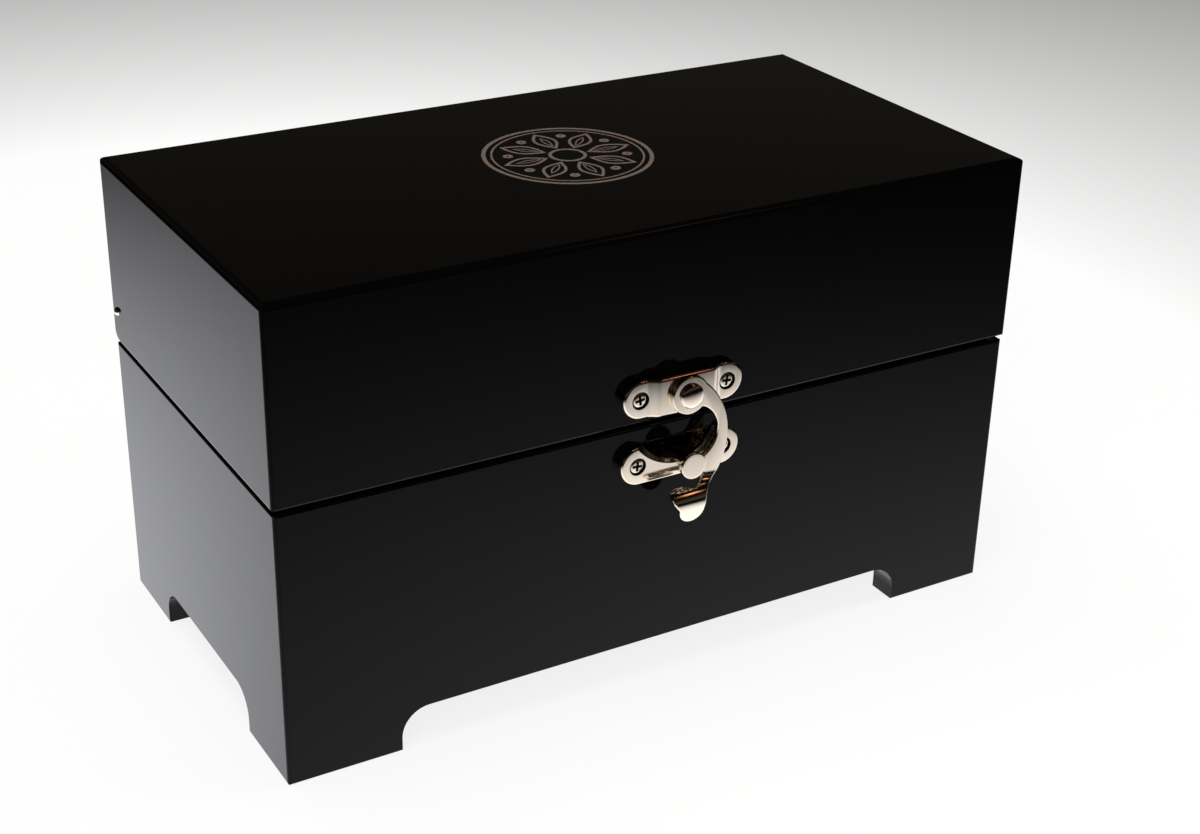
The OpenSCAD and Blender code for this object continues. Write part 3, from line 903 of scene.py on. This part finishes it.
def table_white():
    material = bpy.data.materials.new("table_white_acrylic")
    material.use_nodes = True
    tree = material.node_tree
    tree.nodes.clear()
    place = add_node(tree, "ShaderNodeTexCoord").outputs["Object"]

    def pool(centre, reach):
        """Distance from a spot on the table, counted in reaches across and back."""
        moved = add_node(
            tree, "ShaderNodeVectorMath", {1: centre + (0,)}, {0: place}, operation="SUBTRACT"
        )
        shrunk = add_node(
            tree, "ShaderNodeVectorMath", {1: reach + (1,)}, {0: moved.outputs[0]}, operation="DIVIDE"
        )
        return add_node(
            tree, "ShaderNodeVectorMath", None, {0: shrunk.outputs[0]}, operation="LENGTH"
        ).outputs["Value"]

    def sum_of(operation, first, second):
        node = add_node(tree, "ShaderNodeMath", operation=operation)
        for socket, value in zip(node.inputs, (first, second)):
            if isinstance(value, float):
                socket.default_value = value
            else:
                tree.links.new(value, socket)
        return node.outputs[0]

    seen_distance = pool((-0.05, 0.10), (1.0, 1.0))
    seen_fade = sum_of("MULTIPLY", sum_of("SUBTRACT", seen_reach, seen_distance), seen_slope)
    seen = sum_of("MINIMUM", sum_of("EXPONENT", seen_fade, 0.0), 1.0)

    mirror_distance = pool((0.0, 0.11), (0.31, 0.295))
    mirror_fade = sum_of("MULTIPLY", sum_of("POWER", mirror_distance, mirror_power), -1.0)
    mirrored = sum_of("MULTIPLY", sum_of("EXPONENT", mirror_fade, 0.0), mirror_peak)

    path = add_node(tree, "ShaderNodeLightPath").outputs
    by_mirror = sum_of("MAXIMUM", path["Is Glossy Ray"], path["Is Transmission Ray"])
    strength = add_node(
        tree, "ShaderNodeMix", None, {0: by_mirror, 2: seen, 3: mirrored}, data_type="FLOAT"
    ).outputs[0]
    tint = add_node(
        tree, "ShaderNodeMix", {6: (1, 1, 1, 1), 7: linear("#f9faff")}, {0: by_mirror}, data_type="RGBA"
    ).outputs[2]
    glow = add_node(tree, "ShaderNodeEmission", None, {"Color": tint, "Strength": strength})
    matt = add_node(tree, "ShaderNodeBsdfDiffuse", {"Color": (0.8, 0.8, 0.8, 1)})
    share = sum_of("MAXIMUM", by_mirror, sum_of("MULTIPLY", path["Is Camera Ray"], glow_share))
    both = add_node(
        tree, "ShaderNodeMixShader", None, {0: share, 1: matt.outputs[0], 2: glow.outputs[0]}
    )
    add_node(tree, "ShaderNodeOutputMaterial", None, {"Surface": both.outputs[0]})
    return material


bpy.ops.mesh.primitive_plane_add(size=6, location=(0, 0, 0))
table = bpy.context.object
table.name = "table"
table.data.materials.append(table_white())
print("table", [round(v, 2) for v in table.dimensions])


# %% [markdown]
# The lamps are large and soft. They light the lining and the ink at a plain level,
# but mirrors don't see them, so that the lacquer keeps its black. The one lamp
# that mirrors do see is small and warm, up on the right in front. It draws the
# copper-coloured lines on the latch's upper edges. The room is dark but for a dim
# warm grey band above the horizon, which the lid's top shows as a warm black.

# %% Lamps and surroundings
def softbox(name, place, aim, width, height, power, colour="#ffffff", mirrored=False):
    """A rectangular lamp that looks from its place at a point."""
    light = bpy.data.lights.new(name, "AREA")
    light.shape = "RECTANGLE"
    light.size, light.size_y = width, height
    light.energy = power
    light.color = linear(colour)[:3]
    lamp = bpy.data.objects.new(name, light)
    lamp.location = place
    lamp.rotation_euler = (Vector(aim) - Vector(place)).to_track_quat("-Z", "Y").to_euler()
    lamp.visible_camera = False
    lamp.visible_glossy = mirrored
    bpy.context.scene.collection.objects.link(lamp)
    return lamp


softbox("softbox_overhead", (-0.2, 0.1, 1.5), (0, 0, 0), 1.2, 1.0, 24, "#fffdfa")
softbox("softbox_front_left", (-1.1, -1.0, 0.8), (0, 0, 0.05), 0.9, 0.9, 14, "#fffdfa")
softbox("softbox_right", (1.3, -0.3, 0.8), (0, 0, 0.05), 0.8, 0.8, 10, "#fffdfa")
softbox("lamp_warm", (0.64, -0.62, 1.07), (0, -0.06, 0.09), 0.2, 0.2, 0.22, "#ffa880", True)

world = bpy.data.worlds.new("studio")
bpy.context.scene.world = world
world.use_nodes = True
room = world.node_tree
towards = add_node(room, "ShaderNodeTexCoord").outputs["Generated"]
height = add_node(room, "ShaderNodeSeparateXYZ", None, {0: towards}).outputs["Z"]
wall_to_ceiling = add_node(room, "ShaderNodeValToRGB", None, {"Fac": height})
wall_to_ceiling.color_ramp.elements[0].position = 0.1
wall_to_ceiling.color_ramp.elements[0].color = linear("#120f0c")
wall_to_ceiling.color_ramp.elements.new(0.25).color = linear("#484239")
wall_to_ceiling.color_ramp.elements[2].position = 0.55
wall_to_ceiling.color_ramp.elements[2].color = linear("#0a0908")
room.links.new(wall_to_ceiling.outputs["Color"], room.nodes["Background"].inputs["Color"])
print("three softboxes, a small warm lamp and a dim room")


# %% [markdown]
# The camera stands to the left of the box and above it. Its place and tilt were
# worked out from the box's own edges, so the rebuilt edges run along the real
# ones. A slight roll of the camera is kept.

# %% Camera
azimuth, elevation, roll = (math.radians(a) for a in (-30.777, 26.186, 1.247))
back = Vector((
    math.sin(azimuth) * math.cos(elevation),
    -math.cos(azimuth) * math.cos(elevation),
    math.sin(elevation),
))
right = (-back).cross(Vector((0, 0, 1))).normalized()
up = right.cross(-back)
cam_x = right * math.cos(roll) + up * math.sin(roll)
cam_y = up * math.cos(roll) - right * math.sin(roll)

camera_place = Vector((-261.86 * MM, front_y - 402.23 * MM, 314.64 * MM))
camera_data = bpy.data.cameras.new("camera")
camera_data.sensor_width = 36
camera_data.lens = 60.70
camera = bpy.data.objects.new("camera", camera_data)
turn = Matrix((cam_x, cam_y, back)).transposed().to_4x4()
camera.matrix_world = Matrix.Translation(camera_place) @ turn
bpy.context.scene.collection.objects.link(camera)
bpy.context.scene.camera = camera
bpy.context.scene.view_settings.view_transform = "Standard"
print("camera at", [round(v, 3) for v in camera.location])
